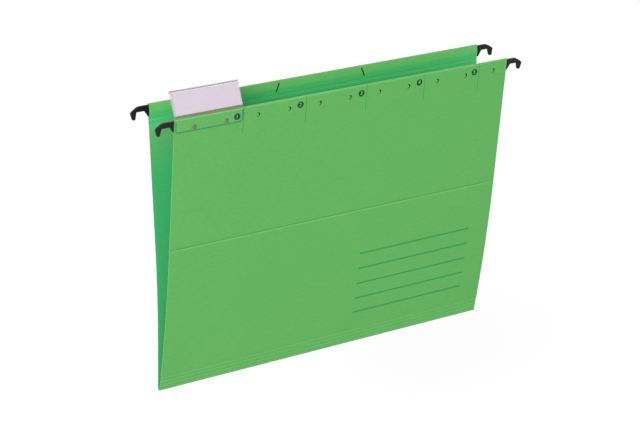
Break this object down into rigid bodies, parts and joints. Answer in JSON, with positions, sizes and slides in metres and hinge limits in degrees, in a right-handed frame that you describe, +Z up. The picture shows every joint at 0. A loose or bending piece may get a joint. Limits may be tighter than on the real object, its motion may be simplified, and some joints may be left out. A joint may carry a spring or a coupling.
{
  "type": "hanging file folder",
  "caption": "Hanging file: scored card sheet folded into a V, hemmed over steel rails with plastic hooks, with a clear clip-on index tab and a paper label.",
  "frame": {"origin": "middle of the four hook seats, on the plane where the hooks hang", "axes": "+X along the rails to the right seen from the front, +Y from the front panel to the rear panel, +Z up"},
  "size_m": [0.3498, 0.0443, 0.2642],
  "materials": {
    "card": "dyed-through matt card with faint fibres",
    "rail_steel": "bright strip steel",
    "hook_plastic": "black moulded plastic, soft sheen",
    "hem_glue": "pale hot-melt glue",
    "tab_film": "clear stiff film",
    "label_paper": "plain matt paper"
  },
  "bodies": {
    "rear": {"rear_panel": "card", "rear_rail": "rail_steel", "rear_hem_glue": "hem_glue", "rear_left_hook": "hook_plastic", "rear_right_hook": "hook_plastic"},
    "front_lower": {"front_lower_panel": "card"},
    "front_upper": {"front_upper_panel": "card", "front_rail": "rail_steel", "front_hem_glue": "hem_glue", "front_left_hook": "hook_plastic", "front_right_hook": "hook_plastic"},
    "tab": {"index_tab": "tab_film"},
    "label": {"label_insert": "label_paper"}
  },
  "joints": [
    {"name": "front_open", "type": "hinge", "parent": "rear", "child": "front_lower", "pos_m": [0, 0.00335, -0.2386], "axis": [1, 0, 0], "range_deg": [-9, 150]},
    {"name": "flap_fold", "type": "hinge", "parent": "front_lower", "child": "front_upper", "pos_m": [0, -0.01412, -0.10779], "axis": [1, 0, 0], "range_deg": [0, 150]},
    {"name": "tab_pull", "type": "slide", "parent": "front_upper", "child": "tab", "axis": [0, -0.9977, -0.068], "range_m": [0, 0.025]},
    {"name": "label_slide", "type": "slide", "parent": "tab", "child": "label", "axis": [-1, 0, 0], "range_m": [0, 0.058]}
  ]
}
